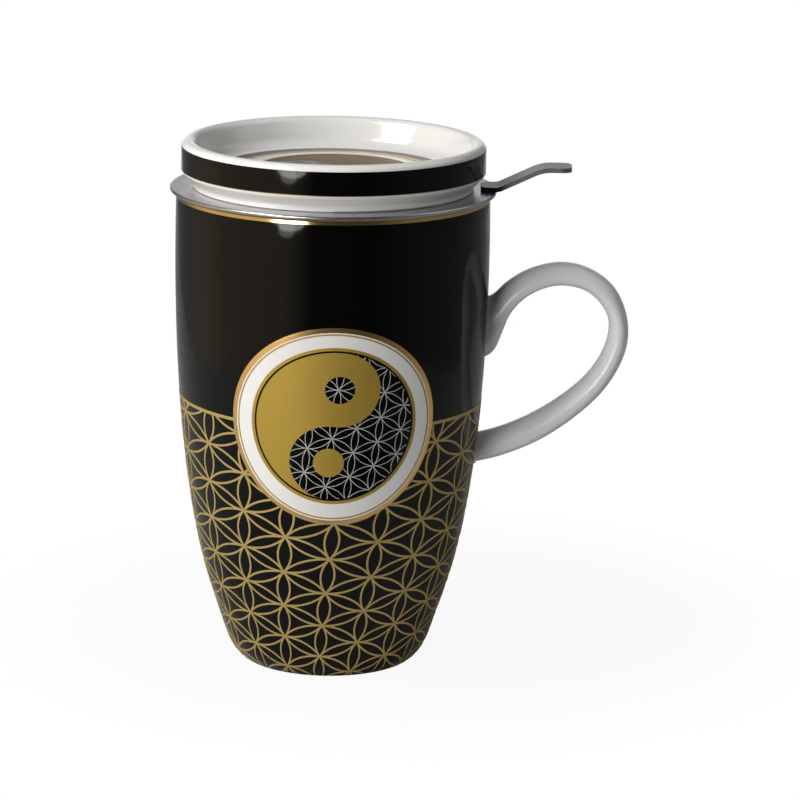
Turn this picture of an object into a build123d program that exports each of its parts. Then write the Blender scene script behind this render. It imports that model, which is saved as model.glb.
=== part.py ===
from build123d import *
import os
from math import pi, sin

# Lidded tea mug with a lift-out infuser. Millimetres, +Z up.
# The origin is the centre of the foot ring on the surface the mug stands on,
# and +X points to the ear handle and the infuser's lever.

# Mug body: outside radii at their heights, from the foot to the rim
mug_height = 126.3
foot_radius = 22.8
heel_height = 2.5
heel_radius = 25.3
base_height = 9.0
base_radius = 28.1
flare_height = 23.0
flare_radius = 32.6
waist_height = 47.0
waist_radius = 37.5
chest_height = 78.0
chest_radius = 40.5
belly_height = 108.0
belly_radius = 41.35
rim_radius = 41.2
mug_wall = 3.0
inside_stations = 8
lip_rounding = 1.2
floor_thickness = 4.0
floor_corner = 7.0
foot_recess_depth = 1.6
foot_ring_width = 3.0
foot_rounding = 0.6

# Ear handle: outlines as distance out from the belly and height above the lower root
handle_root_height = 53.0
handle_width = 11.0
handle_rounding = 2.2
handle_bury = 5.0
handle_outer = [
    (-0.5, 44.7),
    (1.6, 45.4),
    (4.6, 48.4),
    (10.4, 52.2),
    (18.1, 54.4),
    (25.3, 53.1),
    (32.0, 48.7),
    (36.5, 41.2),
    (36.8, 32.9),
    (32.8, 24.2),
    (26.3, 16.6),
    (15.3, 8.5),
    (4.3, 3.0),
    (-2.6, 0.8),
]
handle_inner = [
    (-2.2, 7.9),
    (3.2, 9.7),
    (12.1, 14.0),
    (21.6, 19.9),
    (28.2, 26.3),
    (31.5, 34.3),
    (31.4, 41.2),
    (26.1, 47.7),
    (18.2, 49.7),
    (10.6, 46.9),
    (5.9, 42.0),
    (3.5, 36.5),
    (1.3, 31.6),
    (-1.2, 30.0),
]

# Infuser: pressed steel flange and collar, perforated wall, perforated base cup
flange_radius = 42.8
flange_thickness = 0.9
flange_edge_rounding = 0.35
mouth_radius = 31.4
mouth_rounding = 0.7
collar_length = 6.5
sheet_thickness = 0.6
basket_depth = 76.0
base_lip_height = 3.0
base_lip_gap = 0.05
slot_length = 7.0
slot_width = 1.2
slot_bridge = 2.2
slot_margin = 2.5
slots_per_row = 40
base_hole_diameter = 2.2
base_hole_pitch = 4.8
base_hole_margin = 2.0

# Lever welded on the flange, seen from the side: flat tab, rise, flat thumb rest
lever_width = 9.0
lever_thickness = 1.2
lever_tab_start = 38.6
lever_tab_end = 43.2
lever_rest_start = 54.6
lever_rest_end = 62.3
lever_rise = 5.4
lever_root_bend = 4.0
lever_rest_bend = 11.0
lever_tip_corner = 2.4

# Lid: a dish with a neck that stands on the flange and a ring that drops in the mouth
lid_height = 12.4
lid_neck_radius = 36.9
lid_neck_height = 1.3
lid_cove_rounding = 1.8
lid_band_radius = 39.85
lid_band_bottom = 4.2
lid_band_rounding = 1.6
lid_rim_rounding = 1.85
lid_rim_inner_radius = 36.4
lid_rim_inner_rounding = 2.0
lid_floor_radius = 33.4
lid_floor_height = 4.8
lid_floor_rounding = 4.0
lid_floor_thickness = 3.2
lid_seat_rounding = 0.5
lid_ring_depth = 3.5
lid_ring_wall = 2.6
lid_ring_clearance = 0.6
lid_ring_rounding = 0.8

seat_height = mug_height + flange_thickness
basket_outer_radius = mouth_radius + sheet_thickness
basket_bottom = seat_height - basket_depth


def on_profile(points):
    """Points of a half section, given as (radius, height)."""
    return [(radius, 0, height) for radius, height in points]


def turned(points):
    """A solid of revolution about Z from the corners of its half section."""
    return revolve(make_face(Polyline(on_profile(points), close=True)), axis=Axis.Z)


def mug_side():
    stations = [
        (foot_radius, 0),
        (heel_radius, heel_height),
        (base_radius, base_height),
        (flare_radius, flare_height),
        (waist_radius, waist_height),
        (chest_radius, chest_height),
        (belly_radius, belly_height),
        (rim_radius, mug_height),
    ]
    return Spline(on_profile(stations))


def filled_to_axis(side):
    """The solid of revolution between a side curve and the axis."""
    low = side @ 0
    high = side @ 1
    top = Line(high, (0, 0, high.Z))
    centre = Line((0, 0, high.Z), (0, 0, low.Z))
    bottom = Line((0, 0, low.Z), low)
    return revolve(make_face(Curve([side, top, centre, bottom])), axis=Axis.Z)


def mug_inside():
    """The space in the mug: one wall in from the outside, over a floor with a round corner."""
    outside = mug_side()
    points = []
    for step in range(inside_stations):
        share = step / inside_stations
        inwards = (outside % share).rotate(Axis.Y, -90)
        points.append(outside @ share + inwards * mug_wall)
    points.append(Vector(rim_radius - mug_wall, 0, mug_height))
    space = filled_to_axis(Spline(points))
    floor = foot_recess_depth + floor_thickness
    space = split(space, bisect_by=Plane.XY.offset(floor), keep=Keep.TOP)
    corner = space.edges().sort_by(Axis.Z)[0]
    return fillet(corner, floor_corner)


def make_mug_body():
    body = filled_to_axis(mug_side()) - mug_inside()
    lips = body.edges().filter_by(GeomType.CIRCLE).sort_by(Axis.Z)[-2:]
    body = fillet(lips, lip_rounding)
    recess = Cylinder(foot_radius - foot_ring_width, 2 * foot_recess_depth)
    body -= recess
    feet = body.edges().filter_by(GeomType.CIRCLE).filter_by_position(Axis.Z, 0, 0)
    return fillet(feet, foot_rounding)


def handle_points(outline):
    return [(belly_radius + out, 0, handle_root_height + up) for out, up in outline]


def make_mug_handle():
    """The ear. Both outlines run on into the wall, and the mug's outside cuts them off."""
    outer = Spline(handle_points(handle_outer))
    inner = Spline(handle_points(handle_inner))
    lines = [outer, inner]
    for start, end in ((outer @ 1, inner @ 0), (inner @ 1, outer @ 0)):
        buried_start = start - Vector(handle_bury, 0, 0)
        buried_end = end - Vector(handle_bury, 0, 0)
        lines.append(Line(start, buried_start))
        lines.append(Line(buried_start, buried_end))
        lines.append(Line(buried_end, end))
    side = make_face(Curve(lines))
    ear = extrude(side, amount=handle_width / 2, dir=(0, 1, 0), both=True)
    outline_edges = ear.edges().filter_by(GeomType.BSPLINE)
    ear = fillet(outline_edges, handle_rounding)
    return ear - filled_to_axis(mug_side())


def make_infuser_flange():
    """A flat ring on the mug's rim with a collar down into the mug."""
    ring = turned([
        (mouth_radius, seat_height - collar_length),
        (basket_outer_radius, seat_height - collar_length),
        (basket_outer_radius, mug_height),
        (flange_radius, mug_height),
        (flange_radius, seat_height),
        (mouth_radius, seat_height),
    ])
    circles = ring.edges().filter_by(GeomType.CIRCLE)
    rolled_edges = circles.filter_by(lambda edge: edge.radius > flange_radius - flange_edge_rounding)
    ring = fillet(rolled_edges, flange_edge_rounding)
    tops = ring.edges().filter_by(GeomType.CIRCLE).filter_by_position(Axis.Z, seat_height, seat_height)
    mouth_edge = tops.sort_by(lambda edge: edge.radius)[0]
    return fillet(mouth_edge, mouth_rounding)


def make_infuser_wall():
    """The rolled sheet below the collar, with staggered rows of upright slots."""
    top = seat_height - collar_length
    height = top - basket_bottom - sheet_thickness
    sleeve = Cylinder(basket_outer_radius, height) - Cylinder(mouth_radius, height)
    lowest = base_lip_height + slot_margin
    rows = int((height - lowest - slot_margin + slot_bridge) / (slot_length + slot_bridge))
    slot = Pos(mouth_radius, 0, 0) * Box(4 * sheet_thickness, slot_width, slot_length)
    cutters = []
    for row in range(rows):
        up = lowest + slot_length / 2 + row * (slot_length + slot_bridge) - height / 2
        for place in range(slots_per_row):
            turn = 360 * (place + row % 2 / 2) / slots_per_row
            cutters.append(Pos(0, 0, up) * Rot(0, 0, turn) * slot)
    sleeve -= cutters
    return Pos(0, 0, basket_bottom + sheet_thickness + height / 2) * sleeve


def make_infuser_base():
    """A shallow perforated cup around the foot of the wall."""
    inner_radius = basket_outer_radius + base_lip_gap
    outer_radius = inner_radius + sheet_thickness
    cup = turned([
        (0, basket_bottom),
        (outer_radius, basket_bottom),
        (outer_radius, basket_bottom + base_lip_height),
        (inner_radius, basket_bottom + base_lip_height),
        (inner_radius, basket_bottom + sheet_thickness),
        (0, basket_bottom + sheet_thickness),
    ])
    reach = mouth_radius - base_hole_margin - base_hole_diameter / 2
    drill = Cylinder(base_hole_diameter / 2, 4 * sheet_thickness)
    rows = int(reach / base_hole_pitch) + 1
    drills = []
    for i in range(-2 * rows, 2 * rows + 1):
        for j in range(-2 * rows, 2 * rows + 1):
            x = base_hole_pitch * (i + j / 2)
            y = base_hole_pitch * j * sin(pi / 3)
            if x * x + y * y < reach * reach:
                drills.append(Pos(x, y, basket_bottom) * drill)
    return cup - drills


def make_infuser_lever():
    """A bent strip: the tab on the flange, the rise past its edge and the thumb rest."""
    half = lever_thickness / 2
    low = seat_height + half
    path = FilletPolyline(
        (lever_tab_start, 0, low),
        (lever_tab_end, 0, low),
        (lever_rest_start, 0, low + lever_rise),
        (lever_rest_end, 0, low + lever_rise),
        radius=[lever_root_bend, lever_rest_bend],
    )
    section = Plane(origin=path @ 0, z_dir=path % 0) * Rectangle(lever_thickness, lever_width)
    strip = sweep(section, path=path)
    plan = Pos((lever_tab_start + lever_rest_end) / 2, 0, low) * RectangleRounded(
        lever_rest_end - lever_tab_start, lever_width, lever_tip_corner
    )
    return strip & extrude(plan, amount=2 * lever_rise, both=True)


def make_lid():
    """The dish: neck, cove out to the band, round rim, then down to a flat floor."""
    ring_outer = mouth_radius - lid_ring_clearance
    ring_inner = ring_outer - lid_ring_wall
    underside = lid_floor_height - lid_floor_thickness
    corners = [
        (0, underside, 0),
        (ring_inner, underside, 0),
        (ring_inner, -lid_ring_depth, lid_ring_rounding),
        (ring_outer, -lid_ring_depth, lid_ring_rounding),
        (ring_outer, 0, 0),
        (lid_neck_radius, 0, lid_seat_rounding),
        (lid_neck_radius, lid_neck_height, lid_cove_rounding),
        (lid_band_radius, lid_band_bottom, lid_band_rounding),
        (lid_band_radius, lid_height, lid_rim_rounding),
        (lid_rim_inner_radius, lid_height, lid_rim_inner_rounding),
        (lid_floor_radius, lid_floor_height, lid_floor_rounding),
        (0, lid_floor_height, 0),
    ]
    section = make_face(Polyline(*[(r, z) for r, z, _ in corners], close=True))
    for radius, height, rounding in corners:
        if rounding:
            corner = section.vertices().sort_by_distance((radius, height))[0]
            section = fillet(corner, rounding)
    return Pos(0, 0, seat_height) * revolve(Plane.XZ * section, axis=Axis.Z)


def main():
    os.makedirs("parts", exist_ok=True)
    makers = {
        "mug_body": make_mug_body,
        "mug_handle": make_mug_handle,
        "infuser_flange": make_infuser_flange,
        "infuser_wall": make_infuser_wall,
        "infuser_base": make_infuser_base,
        "infuser_lever": make_infuser_lever,
        "lid": make_lid,
    }
    for node, make in makers.items():
        export_step(make(), f"parts/{node}.step")


main()
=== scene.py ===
import bpy
import math
from mathutils import Matrix, Vector


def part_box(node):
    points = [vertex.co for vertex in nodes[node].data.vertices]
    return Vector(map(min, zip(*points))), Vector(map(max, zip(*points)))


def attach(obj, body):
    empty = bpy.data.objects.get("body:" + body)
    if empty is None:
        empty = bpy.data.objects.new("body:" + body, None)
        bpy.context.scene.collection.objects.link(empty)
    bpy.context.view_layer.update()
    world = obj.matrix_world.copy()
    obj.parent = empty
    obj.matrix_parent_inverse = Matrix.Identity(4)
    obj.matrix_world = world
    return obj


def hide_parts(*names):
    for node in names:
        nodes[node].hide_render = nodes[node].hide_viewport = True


# Lidded tea mug with a lift-out infuser: its glazes, gilding and steel.
# Decoration is modelled in millimetres, flat, then laid on the mug or the lid.

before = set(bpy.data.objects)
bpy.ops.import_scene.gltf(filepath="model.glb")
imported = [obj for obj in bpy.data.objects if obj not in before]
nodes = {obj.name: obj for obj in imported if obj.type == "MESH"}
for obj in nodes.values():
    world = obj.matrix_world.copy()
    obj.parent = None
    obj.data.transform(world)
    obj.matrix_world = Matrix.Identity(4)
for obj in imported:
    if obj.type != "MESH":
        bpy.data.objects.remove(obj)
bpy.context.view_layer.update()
print("frame loaded:", ", ".join(sorted(nodes)))

millimetre = 0.001


# modelling helpers

def makeActive(piece):
    bpy.ops.object.select_all(action="DESELECT")
    piece.select_set(True)
    bpy.context.view_layer.objects.active = piece


def nameIt(name):
    piece = bpy.context.object
    piece.name = name
    piece.data.name = name
    return piece


def applyPlace(piece):
    makeActive(piece)
    bpy.ops.object.transform_apply(location=True, rotation=True, scale=True)


def applyModifiers(piece):
    makeActive(piece)
    for modifier in list(piece.modifiers):
        bpy.ops.object.modifier_apply(modifier=modifier.name)


def plate(name, radius, low, high, centre=(0, 0), steps=160):
    bpy.ops.object.select_all(action="DESELECT")
    bpy.ops.mesh.primitive_cylinder_add(
        vertices=steps, radius=radius, depth=high - low,
        location=(centre[0], centre[1], (low + high) / 2))
    piece = nameIt(name)
    applyPlace(piece)
    return piece


def combine(piece, tool, how):
    join = piece.modifiers.new(how, "BOOLEAN")
    join.operation = how
    join.solver = "EXACT"
    join.object = tool
    applyModifiers(piece)
    bpy.data.objects.remove(tool)
    return piece


def hoop(name, outer, inner, low, high, steps=160):
    piece = plate(name, outer, low, high, steps=steps)
    hole = plate("hoopHole", inner, low - 1, high + 1, steps=steps)
    return combine(piece, hole, "DIFFERENCE")


def cutInStrips(piece, across, up):
    # fine strips let a flat plate follow the round wall
    aside = 0.013   # share of a strip, so that no cut runs through a corner
    makeActive(piece)
    reach = [max(abs(v.co[axis]) for v in piece.data.vertices) for axis in (0, 1)]
    bpy.ops.object.mode_set(mode="EDIT")
    for axis, step in ((0, across), (1, up)):
        facing = (1, 0, 0) if axis == 0 else (0, 1, 0)
        count = int(reach[axis] / step)
        for i in range(-count, count + 1):
            at = (i + aside) * step
            bpy.ops.mesh.select_all(action="SELECT")
            bpy.ops.mesh.bisect(plane_co=tuple(at * c for c in facing), plane_no=facing)
    bpy.ops.object.mode_set(mode="OBJECT")


def clip(piece, spot, facing, fill=True):
    # everything on the facing side goes
    makeActive(piece)
    bpy.ops.object.mode_set(mode="EDIT")
    bpy.ops.mesh.select_all(action="SELECT")
    bpy.ops.mesh.bisect(plane_co=spot, plane_no=facing, clear_outer=True, use_fill=fill)
    bpy.ops.object.mode_set(mode="OBJECT")


def closeCuts(piece):
    # each open end gets a face of its own
    makeActive(piece)
    bpy.ops.object.mode_set(mode="EDIT")
    bpy.ops.mesh.select_mode(type="EDGE")
    bpy.ops.mesh.select_all(action="DESELECT")
    bpy.ops.mesh.select_non_manifold(extend=False, use_wire=False, use_multi_face=False,
                                     use_non_contiguous=False, use_verts=False)
    bpy.ops.mesh.fill_holes(sides=0)
    bpy.ops.mesh.select_mode(type="VERT")
    bpy.ops.object.mode_set(mode="OBJECT")


def joinAll(name, pieces):
    bpy.ops.object.select_all(action="DESELECT")
    for piece in pieces:
        piece.select_set(True)
    bpy.context.view_layer.objects.active = pieces[0]
    bpy.ops.object.join()
    return nameIt(name)


def facesOutwards(piece):
    makeActive(piece)
    bpy.ops.object.mode_set(mode="EDIT")
    bpy.ops.mesh.select_all(action="SELECT")
    bpy.ops.mesh.normals_make_consistent(inside=False)
    bpy.ops.object.mode_set(mode="OBJECT")


def toMetres(piece):
    makeActive(piece)
    piece.scale = (millimetre,) * 3
    applyPlace(piece)


def smooth(piece, degrees=30):
    makeActive(piece)
    bpy.ops.object.shade_smooth_by_angle(angle=math.radians(degrees))


# the mug's outside, read from its solid

bodySide = {
    "foot": 0.15,       # lowest height that is read, mm
    "lip": 125.0,       # highest
    "stations": 400,
    "turns": range(7, 360, 40),     # degrees, the sides that it is read from
    "readFrom": 0.1,    # m from the axis
    "slopeReach": 0.4,  # how far up and down the slope is taken, mm
    # heights at which the edge of the black glaze follows it, mm
    "glazeStations": (0.2, 0.8, 1.6, 2.6, 4, 6, 9, 13, 18, 25, 33,
                      42, 52, 62, 72, 82, 92, 102, 110, 116, 121, 125),
}


def eased(run):
    # every point goes half way to the middle between its neighbours
    middle = [(a + 2 * b + c) / 4 for a, b, c in zip(run, run[1:], run[2:])]
    return [run[0]] + middle + [run[-1]]


def readSide(node, look):
    solid = nodes[node]
    step = (look["lip"] - look["foot"]) / (look["stations"] - 1)
    radii = []
    for i in range(look["stations"]):
        height = look["foot"] + i * step
        found = []
        for turn in look["turns"]:
            away = Vector((math.sin(math.radians(turn)), -math.cos(math.radians(turn)), 0))
            start = away * look["readFrom"] + Vector((0, 0, height * millimetre))
            hit, spot, _, _ = solid.ray_cast(start, -away)
            if hit:
                found.append(math.hypot(spot.x, spot.y) / millimetre)
        radii.append(max(found))
    return eased(radii), step


sideRadii, sideStep = readSide("mug_body", bodySide)


def sideRadius(height):
    at = (height - bodySide["foot"]) / sideStep
    at = min(max(at, 0), len(sideRadii) - 1.001)
    i = int(at)
    return sideRadii[i] + (sideRadii[i + 1] - sideRadii[i]) * (at - i)


def onSide(turn, height, lift):
    # turn is in degrees from the front, towards the handle
    reach = bodySide["slopeReach"]
    slope = (sideRadius(height + reach) - sideRadius(height - reach)) / (2 * reach)
    steep = math.hypot(1, slope)
    radius = sideRadius(height) + lift / steep
    angle = math.radians(turn)
    return Vector((radius * math.sin(angle), -radius * math.cos(angle),
                   height - lift * slope / steep))


print("mug side read: %d stations" % len(sideRadii))


# shader helpers

class Wire:
    # one output socket, with sums written as sums
    def __init__(self, finish, socket):
        self.finish = finish
        self.socket = socket

    def sum(self, operation, first, second):
        return self.finish.node("ShaderNodeMath", {"operation": operation}, {0: first, 1: second})

    def __add__(self, other):
        return self.sum("ADD", self, other)

    def __radd__(self, other):
        return self.sum("ADD", other, self)

    def __sub__(self, other):
        return self.sum("SUBTRACT", self, other)

    def __rsub__(self, other):
        return self.sum("SUBTRACT", other, self)

    def __mul__(self, other):
        return self.sum("MULTIPLY", self, other)

    def __rmul__(self, other):
        return self.sum("MULTIPLY", other, self)

    def __truediv__(self, other):
        return self.sum("DIVIDE", self, other)

    def __rtruediv__(self, other):
        return self.sum("DIVIDE", other, self)

    def __pow__(self, other):
        return self.sum("POWER", self, other)

    def __rpow__(self, other):
        return self.sum("POWER", other, self)


class Finish:
    # a material, or the world, and the one way its nodes are made
    def __init__(self, name, owner=None):
        self.owner = owner or bpy.data.materials.new(name)
        self.owner.use_nodes = True
        self.tree = self.owner.node_tree
        self.tree.nodes.clear()

    def node(self, kind, settings=None, values=None, output=0):
        made = self.tree.nodes.new(kind)
        for name, value in (settings or {}).items():
            if name == "stops":
                ramp = made.color_ramp
                while len(ramp.elements) < len(value):
                    ramp.elements.new(0.5)
                for element, (place, colour) in zip(ramp.elements, value):
                    element.position = place
                    element.color = colour
            else:
                setattr(made, name, value)
        for name, value in (values or {}).items():
            if isinstance(value, Wire):
                self.tree.links.new(value.socket, made.inputs[name])
            else:
                made.inputs[name].default_value = value
        return Wire(self, made.outputs[output]) if made.outputs else None

    def spot(self):
        return self.node("ShaderNodeTexCoord", output="Object")

    def parts(self, vector):
        return [self.node("ShaderNodeSeparateXYZ", None, {0: vector}, axis) for axis in "XYZ"]

    def together(self, x, y, z):
        return self.node("ShaderNodeCombineXYZ", None, {0: x, 1: y, 2: z})

    def noise(self, vector, scale, detail=2.0, roughness=0.5):
        return self.node("ShaderNodeTexNoise", None, {
            "Vector": vector, "Scale": scale, "Detail": detail, "Roughness": roughness})

    def between(self, value, low, high, toLow=0.0, toHigh=1.0):
        return self.node("ShaderNodeMapRange", {"interpolation_type": "SMOOTHSTEP"}, {
            "Value": value, "From Min": low, "From Max": high, "To Min": toLow, "To Max": toHigh})

    def blend(self, share, first, second):
        return self.node("ShaderNodeMix", {"data_type": "RGBA"}, {
            "Factor": share, 6: first, 7: second}, 2)

    def bump(self, height, strength, distance, under=None):
        values = {"Strength": strength, "Distance": distance, "Height": height}
        if under:
            values["Normal"] = under
        return self.node("ShaderNodeBump", None, values)

    def lookers(self):
        # 1 for the camera, for a reflection and for clear glass
        kinds = ("Is Camera Ray", "Is Glossy Ray", "Is Transmission Ray")
        return [self.node("ShaderNodeLightPath", output=kind) for kind in kinds]

    def surface(self, values):
        shader = self.node("ShaderNodeBsdfPrincipled", None, values)
        self.node("ShaderNodeOutputMaterial", None, {"Surface": shader})
        return self.owner


def polar(finish):
    # distance from the axis and turn about it, in millimetres and radians
    x, y, z = finish.parts(finish.spot())
    x, y, z = x / millimetre, y / millimetre, z / millimetre
    radius = (x * x + y * y) ** 0.5
    turn = finish.node("ShaderNodeMath", {"operation": "ARCTAN2"}, {0: y, 1: x})
    return x, y, z, radius, turn


def grey(level):
    return (level,) * 3 + (1,)


def shaded(colour, share):
    return tuple(c * share for c in colour[:3]) + (1,)


def uneven(amount, grain):
    # about 1, up and down with the grain
    return 1 - amount / 2 + amount * grain


# in all the looks, a cloud or a grain with a larger number is finer
glazeLook = {
    "black": (0.0016, 0.0015, 0.0014, 1),
    "blackDeep": (0.0010, 0.0010, 0.0010, 1),
    "blackShine": 0.20,     # specular level
    "blackRoughness": 0.09,
    "blackUneven": 0.4,     # how much the roughness varies
    "blackCloud": 60,
    "blackDepth": (1.1, 1.3),   # mm into the wall, over which black turns to white
    "white": (0.84, 0.835, 0.815, 1),
    "whiteDeep": 0.975,     # share of the white that its darker clouds keep
    "whiteShine": 0.5,
    "whiteRoughness": 0.15,
    "whiteUneven": 0.5,
    "whiteCloud": 45,
    "speck": (0.45, 0.42, 0.38, 1),
    "speckGrain": 1500,
    "speckFrom": (0.79, 0.83),  # height of the grain at which a speck starts and is full
    "speckShare": 0.35,
    "handle": (0.83, 0.835, 0.86, 1),
    "handleRoughness": 0.26,
    "enamel": (0.80, 0.80, 0.80, 1),    # white of the print
    "clay": (0.70, 0.675, 0.63, 1),     # bare under the foot
    "clayTop": (0.05, 0.12),    # mm up, over which it turns to glaze
    "clayRoughness": 0.5,   # over the glaze's
    "waves": 0.012,         # how far the fired surface waves, mm
    "waveGrain": 95,
    "waveStrength": 0.25,
    "pitGrain": 900,
    "pitFrom": (0.72, 0.8),
    "pitDepth": 0.15,       # over the waves' height
    "rollFrom": 120.3,      # height from which the glaze rolls in to the lip, mm
    "roll": 0.012,
    "bandRollFrom": 134.0,  # the same on the lid's black band
    "bandRoll": 0.014,
}


def glazeBump(finish, roll=None):
    look = glazeLook
    spot = finish.spot()
    waves = finish.noise(spot, look["waveGrain"], 1.5, 0.4)
    pits = finish.noise(spot, look["pitGrain"], 2, 0.5)
    fine = finish.between(pits, *look["pitFrom"]) * -look["pitDepth"]
    return finish.bump(waves + fine, look["waveStrength"], look["waves"] * millimetre, roll)


def rollIn(finish, start, amount):
    # above this height, in millimetres, the glaze leans in more and more
    _, _, z = finish.parts(finish.spot())
    climb = finish.node("ShaderNodeMath", {"operation": "MAXIMUM"}, {0: z / millimetre - start, 1: 0})
    return finish.bump(climb * climb * -amount, 1, millimetre)


def blackGlaze(name, rollFrom=None):
    look = glazeLook
    finish = Finish(name)
    cloud = finish.noise(finish.spot(), look["blackCloud"], 3)
    roll = rollIn(finish, rollFrom, look["bandRoll"]) if rollFrom else None
    return finish.surface({
        "Base Color": finish.blend(cloud, look["blackDeep"], look["black"]),
        "Roughness": look["blackRoughness"] * uneven(look["blackUneven"], cloud),
        "Specular IOR Level": look["blackShine"],
        "Normal": glazeBump(finish, roll),
    })


def whiteGlaze(name, tint=glazeLook["white"], roughness=glazeLook["whiteRoughness"]):
    look = glazeLook
    finish = Finish(name)
    cloud = finish.noise(finish.spot(), look["whiteCloud"], 3)
    specks = finish.noise(finish.spot(), look["speckGrain"], 1)
    speck = finish.between(specks, *look["speckFrom"])
    colour = finish.blend(cloud, shaded(tint, look["whiteDeep"]), tint)
    return finish.surface({
        "Base Color": finish.blend(speck * look["speckShare"], colour, look["speck"]),
        "Roughness": roughness * uneven(look["whiteUneven"], cloud),
        "Specular IOR Level": look["whiteShine"],
        "Normal": glazeBump(finish),
    })


def mugGlaze():
    # black over the outside wall, white inside and on the lip, bare under the foot
    look = glazeLook
    finish = Finish("mugGlaze")
    _, _, z, radius, _ = polar(finish)
    tall, wide = bodySide["lip"], max(sideRadii)
    stops = [(height / tall, grey(sideRadius(height) / wide)) for height in bodySide["glazeStations"]]
    side = finish.node("ShaderNodeValToRGB", {"stops": stops}, {"Fac": z / tall}) * wide
    outside = finish.between(side - radius, *look["blackDepth"], 1, 0)
    cloud = finish.noise(finish.spot(), look["blackCloud"], 3)
    black = finish.blend(cloud, look["blackDeep"], look["black"])
    glazed = finish.between(z, *look["clayTop"])
    white = finish.blend(glazed, look["clay"], look["white"])
    rough = finish.between(outside, 0, 1, look["whiteRoughness"], look["blackRoughness"])
    return finish.surface({
        "Base Color": finish.blend(outside, white, black),
        "Roughness": rough * uneven(look["blackUneven"], cloud) + (1 - glazed) * look["clayRoughness"],
        "Specular IOR Level": look["blackShine"],
        "Normal": glazeBump(finish, rollIn(finish, look["rollFrom"], look["roll"])),
    })


goldLook = {
    "matt": {"colour": (0.45, 0.31, 0.050, 1), "deep": (0.40, 0.27, 0.042, 1),
             "roughness": 0.60, "metal": 0.55},
    "line": {"colour": (0.54, 0.40, 0.150, 1), "deep": (0.47, 0.35, 0.125, 1),
             "roughness": 0.60, "metal": 0.55},
    "bright": {"colour": (0.84, 0.56, 0.23, 1), "deep": (0.76, 0.48, 0.18, 1),
               "roughness": 0.24, "metal": 1.0},
    # seen flat through the lid's glaze
    "lid": {"colour": (0.40, 0.30, 0.165, 1), "deep": (0.36, 0.265, 0.14, 1),
            "roughness": 0.45, "metal": 0.8},
    "lip": {"colour": (0.67, 0.485, 0.225, 1), "deep": (0.60, 0.42, 0.18, 1),
            "roughness": 0.13, "metal": 1.0},
    # a brushed line only a hair wide
    "thin": {"colour": (0.24, 0.16, 0.08, 1), "deep": (0.19, 0.12, 0.06, 1),
             "roughness": 0.35, "metal": 1.0},
}
goldGrain = {
    "cloud": 140,
    "grain": 5200,
    "uneven": 0.3,
    "strength": 0.12,
    "height": 0.004,    # mm
}


def gold(name, kind):
    look = goldLook[kind]
    finish = Finish(name)
    spot = finish.spot()
    cloud = finish.noise(spot, goldGrain["cloud"], 3)
    grain = finish.noise(spot, goldGrain["grain"], 2, 0.6)
    return finish.surface({
        "Base Color": finish.blend(cloud, look["deep"], look["colour"]),
        "Metallic": look["metal"],
        "Roughness": look["roughness"] * uneven(goldGrain["uneven"], grain),
        "Normal": finish.bump(grain, goldGrain["strength"], goldGrain["height"] * millimetre),
    })


inkLook = {
    "colour": (0.50, 0.50, 0.495, 1),
    "deep": 0.88,       # share of the colour
    "roughness": 0.35,
    "uneven": 0.3,
    "shine": 0.3,
    "grain": 2600,
    "strength": 0.1,
    "height": 0.004,    # mm
}


def printInk(name):
    look = inkLook
    finish = Finish(name)
    grain = finish.noise(finish.spot(), look["grain"], 2)
    return finish.surface({
        "Base Color": finish.blend(grain, shaded(look["colour"], look["deep"]), look["colour"]),
        "Roughness": look["roughness"] * uneven(look["uneven"], grain),
        "Specular IOR Level": look["shine"],
        "Normal": finish.bump(grain, look["strength"], look["height"] * millimetre),
    })


steelLook = {
    "colour": (0.50, 0.505, 0.525, 1),
    "deep": (0.42, 0.425, 0.445, 1),
    "roughness": 0.26,
    "leverRoughness": 0.50,
    "leverShare": 1.28,     # the lever's colour over the flange's
    # how fine the brushing is on each axis
    "round": (9.0, 1.2, 9.0),       # out from the mug's axis, round it and up
    "along": (0.22, 7.0, 1.4),      # x, y and z
    "up": (5.0, 5.0, 0.2),
    "toneFrom": (0.3, 0.7), # height of the brushing at which the colour starts and is full
    "cloud": 90,
    "evenRoughness": 0.7,   # shares of the roughness: everywhere, with the tone and the clouds
    "toneRoughness": 0.45,
    "cloudRoughness": 0.25,
    "strength": 0.10,
    "height": 0.02,         # mm
    "sideShade": (0.24, 0.24, 0.245, 1),      # painted shade along the lever's upright sides
    "weldedEdge": (0.010, 0.010, 0.009, 1), # painted shadow, near black, on the sides of its tab
    "welded": (43.0, 46.5), # mm from the mug's axis, where the tab's painted shadow turns into the sides' painted shade
    "leverCorner": 2.4,     # mm, seen from above
    "sideShadeDepth": (0.10, 0.03),   # mm in from the outline, where the painted shade on the sides starts and is full
}


def shadedSideMask(finish, x, y):
    # 1 on the upright sides of the lever, a strip with round corners: where shade is painted
    corner = steelLook["leverCorner"]
    start, full = steelLook["sideShadeDepth"]
    reach = []
    for axis, along in enumerate((x, y)):
        low, high = [end[axis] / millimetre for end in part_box("infuser_lever")]
        off = finish.node("ShaderNodeMath", {"operation": "ABSOLUTE"}, {0: along - (low + high) / 2})
        past = off - ((high - low) / 2 - corner)
        reach.append(finish.node("ShaderNodeMath", {"operation": "MAXIMUM"}, {0: past, 1: 0}))
    distance = (reach[0] * reach[0] + reach[1] * reach[1]) ** 0.5
    return finish.between(distance, corner - start, corner - full)


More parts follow.
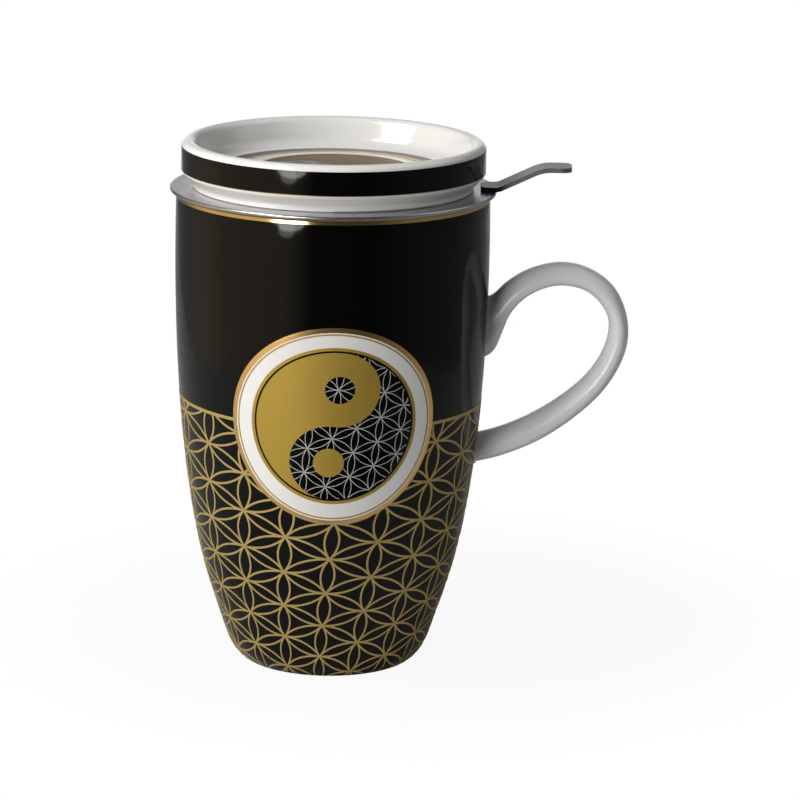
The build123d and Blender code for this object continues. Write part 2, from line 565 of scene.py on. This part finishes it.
def steel(name, lay):
    # lay is the way the brushing runs: round the axis, along the lever or up the wall
    look = steelLook
    finish = Finish(name)
    x, y, z, radius, turn = polar(finish)
    ways = (radius, turn, z) if lay == "round" else (x, y, z)
    lines = finish.together(*[way * fine for way, fine in zip(ways, look[lay])])
    streak = finish.noise(lines, 1.0, 4, 0.65)
    cloud = finish.noise(finish.spot(), look["cloud"], 2)
    tone = finish.between(streak, *look["toneFrom"])
    rough, share = look["roughness"], 1
    if lay == "along":
        rough, share = look["leverRoughness"], look["leverShare"]
    colour = finish.blend(tone, shaded(look["deep"], share), shaded(look["colour"], share))
    # on the lever, shade is painted on its upright sides, darkest as a painted shadow by the tab
    if lay == "along":
        edge = finish.blend(finish.between(x, *look["welded"]), look["weldedEdge"], look["sideShade"])
        colour = finish.blend(shadedSideMask(finish, x, y), colour, edge)
    swing = look["evenRoughness"] + look["toneRoughness"] * tone + look["cloudRoughness"] * cloud
    return finish.surface({
        "Base Color": colour,
        "Metallic": 1.0,
        "Roughness": rough * swing,
        "Normal": finish.bump(streak, look["strength"], look["height"] * millimetre),
    })


finishes = {
    "mug_body": mugGlaze(),
    "mug_handle": whiteGlaze("handleGlaze", glazeLook["handle"], glazeLook["handleRoughness"]),
    "infuser_flange": steel("flangeSteel", "round"),
    "infuser_wall": steel("wallSteel", "up"),
    "infuser_base": steel("baseSteel", "round"),
    "infuser_lever": steel("leverSteel", "along"),
    "lid": whiteGlaze("lidGlaze"),
}
for node, material in finishes.items():
    nodes[node].data.materials.clear()
    nodes[node].data.materials.append(material)

black = blackGlaze("blackEnamel")
bandBlack = blackGlaze("bandEnamel", glazeLook["bandRollFrom"])
white = whiteGlaze("whiteEnamel", glazeLook["enamel"])
whiteInk = printInk("whiteInk")
mattGold = gold("mattGold", "matt")
brightGold = gold("brightGold", "bright")
lineGold = gold("lineGold", "line")
brownGold = gold("brownGold", "thin")
lidGold = gold("lidGold", "lid")
lipGold = gold("lipGold", "lip")
print("finishes made: %d" % len(bpy.data.materials))


def finished(piece, material, body):
    piece.data.materials.clear()
    piece.data.materials.append(material)
    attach(piece, body)
    return piece


# the ear handle: soft in section, where its solid has flat sides

handle = {
    "belly": 41.35,         # mm, radius that the outlines are measured out from
    "root": 53.0,           # mm, height that they are measured up from
    # outlines, from the upper root round to the lower
    "outer": ((-0.5, 45.3), (1.5, 46.3), (4.55, 49.4), (10.6, 53.1), (18.6, 55.0),
              (26.1, 53.6), (32.8, 48.9), (36.6, 41.2), (36.86, 32.9), (33.15, 24.0),
              (26.7, 16.25), (15.65, 7.85), (4.35, 2.7), (-2.6, 0.3)),
    "inner": ((-1.2, 28.9), (1.6, 30.7), (3.7, 35.9), (5.8, 41.4), (10.3, 46.2),
              (17.6, 49.1), (25.8, 47.6), (31.4, 41.3), (31.45, 34.3), (27.7, 26.5),
              (21.3, 20.05), (12.1, 13.9), (3.2, 9.9), (-2.2, 7.95)),
    "halfWidth": 5.5,
    # where it is widest, as a share of the thickness from the inside
    "crest": (0.38, 0.66),  # at the upper and at the lower root
    "fullness": (2.3, 2.1), # outer and inner side: 2 is an ellipse, more is squarer
    "sunk": 2.0,            # mm, how far it runs on into the wall
    "stations": 160,
    "sides": 96,
    "easing": 6,            # rounds of smoothing along the outlines
    "shading": 50,          # degrees, the sharpest turn that is shaded smooth
}


def throughPoints(points, times, at):
    # a smooth run through the points
    i = max(k for k in range(len(times) - 1) if times[k] <= at)
    span = times[i + 1] - times[i]
    share = (at - times[i]) / span
    slopes = []
    for k in (i, i + 1):
        before, after = max(k - 1, 0), min(k + 1, len(times) - 1)
        slopes.append((points[after] - points[before]) / (times[after] - times[before]))
    start, end = points[i], points[i + 1]
    rest = 1 - share
    return (start * (1 + 2 * share) * rest ** 2 + slopes[0] * span * share * rest ** 2
            + end * (3 - 2 * share) * share ** 2 - slopes[1] * span * rest * share ** 2)


def handleRuns():
    # the outlines as matching stations, both ends inside the wall
    look = handle
    base = Vector((look["belly"], look["root"]))
    outer, inner = [[Vector(p) + base for p in look[key]] for key in ("outer", "inner")]
    for run in (outer, inner):
        for end, at in ((run[0], 0), (run[-1], len(run))):
            run.insert(at, Vector((sideRadius(end.y) - look["sunk"], end.y)))
    times = [0]
    for k in range(1, len(outer)):
        steps = [(run[k] - run[k - 1]).length for run in (outer, inner)]
        times.append(times[-1] + sum(steps) / 2)
    count = look["stations"]
    runs = []
    for points in (outer, inner):
        run = [throughPoints(points, times, times[-1] * i / count) for i in range(count + 1)]
        for _ in range(look["easing"]):
            run = eased(run)
        runs.append(run)
    return runs


def makeHandle():
    look = handle
    count = look["stations"]
    # a plain rod of thin slices, then bent and filled out slice by slice
    piece = plate("soft_handle", 1, 0, count, steps=look["sides"])
    makeActive(piece)
    bpy.ops.object.mode_set(mode="EDIT")
    for i in range(1, count):
        bpy.ops.mesh.select_all(action="SELECT")
        bpy.ops.mesh.bisect(plane_co=(0, 0, i), plane_no=(0, 0, 1))
    bpy.ops.object.mode_set(mode="OBJECT")
    outer, inner = handleRuns()
    for vertex in piece.data.vertices:
        i = round(vertex.co.z)
        turn = math.atan2(vertex.co.y, vertex.co.x)
        side, rise = math.cos(turn), math.sin(turn)
        power = 2 / look["fullness"][0 if rise > 0 else 1]
        wide = math.copysign(abs(side) ** power, side) * look["halfWidth"]
        tall = abs(rise) ** power
        crest = look["crest"][0] + (look["crest"][1] - look["crest"][0]) * i / count
        share = crest + (1 - crest) * tall if rise > 0 else crest * (1 - tall)
        spot = inner[i] + (outer[i] - inner[i]) * share
        vertex.co = (spot.x, wide, spot.y)
    facesOutwards(piece)
    toMetres(piece)
    smooth(piece, look["shading"])
    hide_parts("mug_handle")
    finished(piece, finishes["mug_handle"], "mug")


makeHandle()
print("handle made")


# the flower of life: one leaf ring, repeated

def leafRing(name, width, height, line, low, high, steps):
    bpy.ops.object.select_all(action="DESELECT")
    bpy.ops.mesh.primitive_circle_add(vertices=steps, radius=1, fill_type="NGON")
    ring = nameIt(name)
    ring.scale = (width + line / 2, height + line / 2, 1)
    applyPlace(ring)
    bpy.ops.object.mode_set(mode="EDIT")
    bpy.ops.mesh.select_all(action="SELECT")
    bpy.ops.mesh.inset(thickness=line)
    bpy.ops.mesh.delete(type="FACE")
    bpy.ops.object.mode_set(mode="OBJECT")
    thick = ring.modifiers.new("thick", "SOLIDIFY")
    thick.thickness = high - low
    thick.offset = -1
    applyModifiers(ring)
    top = max(v.co.z for v in ring.data.vertices)
    ring.location.z = high - top
    applyPlace(ring)
    return ring


def repeated(name, ring, spots):
    copies = []
    for x, y in spots:
        copy = bpy.data.objects.new(name, ring.data.copy())
        bpy.context.scene.collection.objects.link(copy)
        copy.location = (x, y, 0)
        copies.append(copy)
    bpy.data.objects.remove(ring)
    for copy in copies:
        applyPlace(copy)
    return joinAll(name, copies)


# gold lattice on the lower half of the mug

lattice = {
    "columns": 18,
    "columnStep": 12.5,     # mm at the waist, flat
    "rows": range(-6, 4),   # counted from the crossing at the front
    "rowStep": 10.25,       # mm between crossings, flat
    "line": 0.55,
    "low": -0.10,
    "high": 0.07,
    "frontTurn": 3.05,      # degrees, of the column at the front
    "frontHeight": 45.86,   # mm, of a crossing on it
    "lean": 0.159,          # degrees per mm of height
    "uprightAt": 45,        # mm, height where the lean is nothing
    "crowding": 2.48,       # degrees that the front columns close up
    "stretch": 0.126,       # mm by which rows grow apart
    "tilt": (0.67, -1.77),  # mm, front to back and side to side
    "border": 71.45,        # mm, height where it ends
    "borderTilt": 0.55,     # mm, lower towards the handle
    "borderRadius": 40,
    "foot": 0.3,
    "steps": 72,
}


def latticeSpot(x, y):
    column = x / lattice["columnStep"]
    row = y / lattice["rowStep"]
    nominal = 360 / lattice["columns"] * column
    angle = math.radians(nominal)
    ahead, aside = lattice["tilt"]
    height = lattice["frontHeight"] + lattice["rowStep"] * row + lattice["stretch"] * row * row
    height += ahead * (1 - math.cos(angle)) + aside * math.sin(angle)
    turn = lattice["frontTurn"] + nominal - lattice["crowding"] * math.sin(angle)
    turn += lattice["lean"] * (height - lattice["uprightAt"])
    return turn, height


def makeLattice():
    look = lattice
    spots = []
    for column in range(-look["columns"] // 2, look["columns"] // 2):
        for row in look["rows"]:
            shift = 0.5 if column % 2 else 0
            spots.append((column * look["columnStep"], (row - shift) * look["rowStep"]))
    ring = leafRing("latticeRing", look["columnStep"] * 2 / math.sqrt(3), look["rowStep"],
                    look["line"], look["low"], look["high"], look["steps"])
    piece = repeated("gold_lattice", ring, spots)
    for vertex in piece.data.vertices:
        turn, height = latticeSpot(vertex.co.x, vertex.co.y)
        vertex.co = onSide(turn, height, vertex.co.z)
    slope = look["borderTilt"] / look["borderRadius"]
    clip(piece, (0, 0, look["border"]), (slope, 0, 1), fill=False)
    clip(piece, (0, 0, look["foot"]), (0, 0, -1), fill=False)
    closeCuts(piece)
    facesOutwards(piece)
    toMetres(piece)
    smooth(piece)
    return finished(piece, lineGold, "mug")


latticePiece = makeLattice()
print("lattice laid: %d faces" % len(latticePiece.data.polygons))


# rings round the mug and the lid

rings = {
    "steps": 240,
    "border": {"half": 0.42, "lift": (0.08, 0.08), "sunk": 0.1},
    "lip": {"low": 125.12, "high": 126.24, "radius": 1.27, "centre": (40.0, 125.1), "steps": 40},
    "lipSide": {"low": 124.8, "high": 125.6, "lift": (0.10, -0.02), "sunk": 0.1},
    "band": {"outer": 39.9, "inner": 39.4, "low": 132.0, "high": 138.1},
    "bandLine": {"outer": 39.92, "inner": 39.4, "low": 131.88, "high": 132.03},
}


def roundTheMug(name, low, high, look, tilt=0):
    # a plain hoop, laid on the wall: lift is how far its outside stands proud,
    # at its foot and at its top
    outer, inner = 10, 9
    piece = hoop(name, outer, inner, 0, 1, steps=rings["steps"])
    for vertex in piece.data.vertices:
        turn = math.degrees(math.atan2(vertex.co.x, -vertex.co.y))
        atTop = vertex.co.z > 0.5
        height = (high if atTop else low) - tilt * math.sin(math.radians(turn))
        outside = vertex.co.xy.length > (outer + inner) / 2
        vertex.co = onSide(turn, height, look["lift"][atTop] if outside else -look["sunk"])
    toMetres(piece)
    smooth(piece)
    return piece


look = rings["border"]
borderPiece = roundTheMug("gold_border", lattice["border"] - look["half"],
                          lattice["border"] + look["half"], look, lattice["borderTilt"])
finished(borderPiece, lineGold, "mug")

look = rings["lip"]
bpy.ops.object.select_all(action="DESELECT")
bpy.ops.mesh.primitive_torus_add(
    major_segments=rings["steps"], minor_segments=look["steps"], major_radius=look["centre"][0],
    minor_radius=look["radius"], location=(0, 0, look["centre"][1]))
lipPiece = nameIt("gold_lip")
applyPlace(lipPiece)
clip(lipPiece, (0, 0, look["high"]), (0, 0, 1))
clip(lipPiece, (0, 0, look["low"]), (0, 0, -1))
toMetres(lipPiece)
smooth(lipPiece)
finished(lipPiece, lipGold, "mug")

look = rings["lipSide"]
finished(roundTheMug("gold_lip_side", look["low"], look["high"], look), lipGold, "mug")

for name, kind, material in (("lid_band", "band", bandBlack), ("lid_band_line", "bandLine", brownGold)):
    look = rings[kind]
    piece = hoop(name, look["outer"], look["inner"], look["low"], look["high"], rings["steps"])
    toMetres(piece)
    smooth(piece)
    finished(piece, material, "lid")
print("rings made")


# the medallion, modelled flat about its own middle

medallion = {
    "radius": 26.7,
    "edge": 25.45,          # inside of the bright edge
    "edgeFlat": 26.25,      # its top is flat out to here
    "edgeDrop": 0.004,      # mm, the flat part below the top of the slope
    # its outer side slopes down to this, at the bottom and at the top of the print
    "edgeFoot": (0.02, 0.25),
    "edgeRise": 1.25,       # over 1, the second is reached below the top
    "fineLine": (24.70, 25.08),
    "whiteIn": 21.12,
    "lineIn": 20.32,
    "overlap": 0.02,        # mm, of neighbouring rings
    "underEdge": 0.05,      # mm, the white ring under the bright edge
    "figure": 19.85,        # the two halves
    "eye": 3.90,
    "eyeHole": 3.65,
    "eyeSteps": 64,
    "line": 0.18,           # white tracery
    "tracerySlant": (-0.019, 0.042),    # how far x leans with y, and y with x
    "traceryShift": (-0.15, 0.0),   # mm
    "innerShift": (0.05, 0.20),     # mm, the figure and the line round it
    "outerShift": (0.0, -0.12),     # mm, the white ring and the bright edge
    "turn": 2.42,           # degrees from the front
    "height": 72.08,
    "squash": 0.989,        # height over width of the print
    "tilt": -7.6,           # degrees
    "flatRadius": 38.6,
    "strips": (1.5, 4),     # mm, across and up
    "layers": {"ground": 0.11, "tracery": 0.14, "figure": 0.17,
               "white": 0.20, "lines": 0.23, "edge": 0.26},
    "sunk": -0.1,
    "trimSpare": 0.25,      # how far the tracery runs on under the black hoop
    "trimSides": 48,
}


def halfFigure(low, high):
    # the bright half, drawn as one outline: left rim, round the tail, round the head
    look = medallion
    radius = look["figure"]
    arcs = ((0, radius, 90, 270, 80),
            (-radius / 2, radius / 2, 270, 90, 60),
            (radius / 2, radius / 2, -90, 90, 60))
    outline = []
    for middle, size, start, end, steps in arcs:
        for i in range(steps):
            angle = math.radians(start + (end - start) * i / steps)
            outline.append((size * math.cos(angle), middle + size * math.sin(angle), low))
    mesh = bpy.data.meshes.new("brightHalf")
    mesh.from_pydata(outline, [], [list(range(len(outline)))])
    piece = bpy.data.objects.new("brightHalf", mesh)
    bpy.context.scene.collection.objects.link(piece)
    makeActive(piece)
    bpy.ops.object.mode_set(mode="EDIT")
    bpy.ops.mesh.select_all(action="SELECT")
    bpy.ops.mesh.extrude_region_move(TRANSFORM_OT_translate={"value": (0, 0, high - low)})
    bpy.ops.object.mode_set(mode="OBJECT")
    facesOutwards(piece)
    hole = plate("eyeHole", look["eyeHole"], low - 1, high + 1, (0, radius / 2), look["eyeSteps"])
    return combine(piece, hole, "DIFFERENCE")


def tracery(low, high):
    look = medallion
    pitch = look["figure"] / 3
    column = pitch * math.sqrt(3) / 2
    spots = []
    for i in range(-4, 5):
        for j in range(-5, 6):
            x, y = i * column, (j + (0 if i % 2 else 0.5)) * pitch
            if math.hypot(x, y) < look["figure"] + pitch:
                spots.append((x, y))
    ring = leafRing("traceryRing", pitch, pitch, look["line"], low, high, 36)
    piece = repeated("tracery", ring, spots)
    lean, climb = look["tracerySlant"]
    aside, up = look["traceryShift"]
    for vertex in piece.data.vertices:
        x, y = vertex.co.xy
        vertex.co.xy = (x + lean * y + aside, y + climb * x + up)
    trimToDisc(piece, look["figure"] + look["trimSpare"])
    return piece


def trimToDisc(piece, limit):
    # cut along the sides of a many-sided disc
    sides = medallion["trimSides"]
    for i in range(sides):
        angle = 2 * math.pi * i / sides
        away = (math.cos(angle), math.sin(angle), 0)
        clip(piece, tuple(limit * c for c in away), away, fill=False)
    closeCuts(piece)
    facesOutwards(piece)


def shift(piece, amount):
    piece.location = (amount[0], amount[1], 0)
    applyPlace(piece)


def brightEdge():
    # flat on top, with a slope on its outside that catches the light at the bottom
    look = medallion
    top = look["layers"]["edge"]
    slope = hoop("edgeSlope", look["radius"], look["edgeFlat"], look["sunk"], top)
    middle = (look["radius"] + look["edgeFlat"]) / 2
    lowFoot, highFoot = look["edgeFoot"]
    for vertex in slope.data.vertices:
        if vertex.co.z > 0 and vertex.co.xy.length > middle:
            share = (vertex.co.y / look["radius"] + 1) / 2
            vertex.co.z = lowFoot + (highFoot - lowFoot) * min(share * look["edgeRise"], 1)
    flat = hoop("edgeFlat", look["edgeFlat"] + look["overlap"], look["edge"],
                look["sunk"], top - look["edgeDrop"])
    return joinAll("brightEdge", [slope, flat])


def makeMedallion():
    look = medallion
    layer = look["layers"]
    sunk, overlap = look["sunk"], look["overlap"]
    pieces = {}
    pieces["ground"] = (plate("ground", look["lineIn"], sunk, layer["ground"]), black)
    pieces["tracery"] = (tracery(sunk, layer["tracery"]), whiteInk)
    blackLine = hoop("blackLine", look["lineIn"] + overlap, look["figure"], sunk, layer["white"])
    pieces["black_line"] = (blackLine, black)
    pieces["bright_half"] = (halfFigure(sunk, layer["figure"]), mattGold)
    eyeSpot = (0, -look["figure"] / 2)
    eye = plate("eye", look["eye"], sunk, layer["figure"], eyeSpot, look["eyeSteps"])
    pieces["bright_eye"] = (eye, mattGold)
    under = (look["whiteIn"] + look["lineIn"]) / 2
    whiteRing = hoop("whiteRing", look["edge"] + look["underEdge"], under, sunk, layer["white"])
    pieces["white_ring"] = (whiteRing, white)
    inner = hoop("innerLine", look["whiteIn"] + overlap, look["lineIn"], sunk, layer["lines"])
    outer = hoop("outerLine", look["fineLine"][1], look["fineLine"][0], sunk, layer["lines"])
    shift(inner, look["innerShift"])
    shift(outer, look["outerShift"])
    pieces["fine_lines"] = (joinAll("fineLines", [inner, outer]), mattGold)
    pieces["bright_edge"] = (brightEdge(), brightGold)
    for part in ("ground", "tracery", "black_line", "bright_half", "bright_eye"):
        shift(pieces[part][0], look["innerShift"])
    for part in ("white_ring", "bright_edge"):
        shift(pieces[part][0], look["outerShift"])
    return pieces


def layOnMug(piece):
    look = medallion
    cutInStrips(piece, *look["strips"])
    tilt = Matrix.Rotation(math.radians(look["tilt"]), 2)
    for vertex in piece.data.vertices:
        x, y = tilt @ vertex.co.xy
        turn = look["turn"] + math.degrees(x / look["flatRadius"])
        vertex.co = onSide(turn, look["height"] + y * look["squash"], vertex.co.z)


lidPrint = {
    "scale": 0.975,
    "rim": 29.9,            # outside of the black ring round the print
    "rimUnder": 0.3,        # mm, how far it runs in under the bright edge
    "turn": -97.0,          # degrees, seen from above
    "floor": 132.0,
}


def layInLid(piece):
    look = lidPrint
    turned = Matrix.Rotation(math.radians(look["turn"]), 2)
    for vertex in piece.data.vertices:
        x, y = turned @ (vertex.co.xy * look["scale"])
        vertex.co = (x, y, look["floor"] + vertex.co.z)


def lidMedallion():
    look = lidPrint
    pieces = makeMedallion()
    rim = hoop("blackRim", look["rim"] / look["scale"], medallion["radius"] - look["rimUnder"],
               medallion["sunk"], medallion["layers"]["ground"], rings["steps"])
    pieces["black_rim"] = (rim, black)
    for part in ("bright_half", "bright_eye"):
        pieces[part] = (pieces[part][0], lidGold)
    return pieces


for body, lay, made in (("mug", layOnMug, makeMedallion), ("lid", layInLid, lidMedallion)):
    for part, (piece, material) in made().items():
        lay(piece)
        piece.name = body + "_" + part
        piece.data.name = piece.name
        toMetres(piece)
        smooth(piece)
        finished(piece, material, body)
print("medallions laid")


# floor, light and camera

studio = {
    "floorSize": (0.62, 1.9),
    "floorFront": -0.118,
    "floorAlbedo": 0.60,
    "paperGrain": 300,
    "paperDeep": 0.99,          # share of the paper's colour
    "nearWhite": 0.93,          # share of plain white that is seen near the mug
    "shadowCentre": (20, 30),   # mm
    "shadowFade": (60, 130),    # mm from there
    "mirroredWhite": (400, 1200),   # mm behind, where the floor turns white in reflections
    "roomFront": (0.060, 0.058, 0.050, 1),
    # the other sides: axis, where each starts and is full on it, colour
    "roomSides": ((0, (-0.18, -0.62), (0.80, 0.68, 0.49, 1)),   # left
                  (0, (0.45, 1.0), (0.20, 0.20, 0.20, 1)),      # right
                  (1, (0.1, 0.8), (0.20, 0.20, 0.21, 1)),       # behind
                  (2, (0.2, 0.6), (0.08, 0.08, 0.08, 1))),      # above
    "roomWhite": (0.94, 1.0),   # right behind, where reflections see plain white
}

# azimuth from the front towards the handle and elevation in degrees, distance
# and size in metres, power in watts
lamps = {
    "keyBox": {"azimuth": -62, "elevation": 42, "distance": 0.9,
               "shape": "RECTANGLE", "size": (0.42, 0.42), "power": 5.7},
    "frontBox": {"azimuth": -29.5, "elevation": 9.5, "distance": 0.8,
                 "shape": "ELLIPSE", "size": (0.33, 0.26), "power": 2.2},
    "frontDrip": {"azimuth": -31.5, "elevation": 1.5, "distance": 0.8,
                  "shape": "ELLIPSE", "size": (0.17, 0.16), "power": 0.28},
    "kickBox": {"azimuth": 105, "elevation": 45, "distance": 0.9,
                "shape": "RECTANGLE", "size": (0.7, 0.7), "power": 1.3},
}
lampAim = (0, 0, 0.08)

view = {
    "place": (0.018454, -0.971551, 0.306698),
    "pitch": 0.239101,      # radians below the horizon
    "roll": 0.0183,
    "lens": 169.31,
    "sensor": 36,
}


def makeFloor():
    look = studio
    bpy.ops.object.select_all(action="DESELECT")
    bpy.ops.mesh.primitive_plane_add(size=1)
    floor = nameIt("floor")
    wide, deep = look["floorSize"]
    floor.scale = (wide, deep, 1)
    floor.location = (0, look["floorFront"] + deep / 2, 0)
    applyPlace(floor)
    finish = Finish("floorPaper")
    x, y, _, _, _ = polar(finish)
    aside, ahead = x - look["shadowCentre"][0], y - look["shadowCentre"][1]
    away = (aside * aside + ahead * ahead) ** 0.5
    far = finish.between(away, *look["shadowFade"], look["nearWhite"], 1)
    behind = finish.between(y, *look["mirroredWhite"])
    camera, shiny, clear = finish.lookers()
    share = camera * far + (shiny + clear) * behind
    grain = finish.noise(finish.spot(), look["paperGrain"], 3)
    tone = look["floorAlbedo"]
    paper = finish.blend(grain, grey(tone * look["paperDeep"]), grey(tone))
    lit = finish.node("ShaderNodeBsdfDiffuse", None, {"Color": paper})
    plain = finish.node("ShaderNodeEmission", None, {"Color": grey(1), "Strength": 1.0})
    mixed = finish.node("ShaderNodeMixShader", None, {0: share, 1: lit, 2: plain})
    finish.node("ShaderNodeOutputMaterial", None, {"Surface": mixed})
    floor.data.materials.append(finish.owner)


def makeWorld():
    # a dim room, white right behind, dark in front and warm to the left
    look = studio
    world = bpy.data.worlds.new("studioRoom")
    bpy.context.scene.world = world
    room = Finish("studioRoom", world)
    axes = room.parts(room.node("ShaderNodeTexCoord", output="Generated"))
    sides = look["roomFront"]
    for axis, reach, colour in look["roomSides"]:
        sides = room.blend(room.between(axes[axis], *reach), sides, colour)
    camera, shiny, clear = room.lookers()
    behind = room.between(axes[1], *look["roomWhite"])
    seen = room.blend(camera + (shiny + clear) * behind, sides, grey(1))
    back = room.node("ShaderNodeBackground", None, {"Color": seen, "Strength": 1.0})
    room.node("ShaderNodeOutputWorld", None, {"Surface": back})


def softBox(name, look):
    lamp = bpy.data.lights.new(name, "AREA")
    lamp.shape = look["shape"]
    lamp.size, lamp.size_y = look["size"]
    lamp.energy = look["power"]
    box = bpy.data.objects.new(name, lamp)
    bpy.context.scene.collection.objects.link(box)
    azimuth, elevation = math.radians(look["azimuth"]), math.radians(look["elevation"])
    level = math.cos(elevation)
    away = Vector((math.sin(azimuth) * level, -math.cos(azimuth) * level, math.sin(elevation)))
    box.location = Vector(lampAim) + away * look["distance"]
    box.rotation_euler = away.to_track_quat("Z", "Y").to_euler()
    box.visible_camera = False


def makeCamera():
    look = view
    camera = bpy.data.objects.new("camera", bpy.data.cameras.new("camera"))
    bpy.context.scene.collection.objects.link(camera)
    camera.data.lens = look["lens"]
    camera.data.sensor_width = look["sensor"]
    camera.location = look["place"]
    pitch = Matrix.Rotation(math.pi / 2 - look["pitch"], 3, "X")
    camera.rotation_euler = (pitch @ Matrix.Rotation(look["roll"], 3, "Z")).to_euler()
    bpy.context.scene.camera = camera


makeFloor()
makeWorld()
makeCamera()
for name, look in lamps.items():
    softBox(name, look)
bpy.context.scene.view_settings.view_transform = "Standard"
print("studio set")
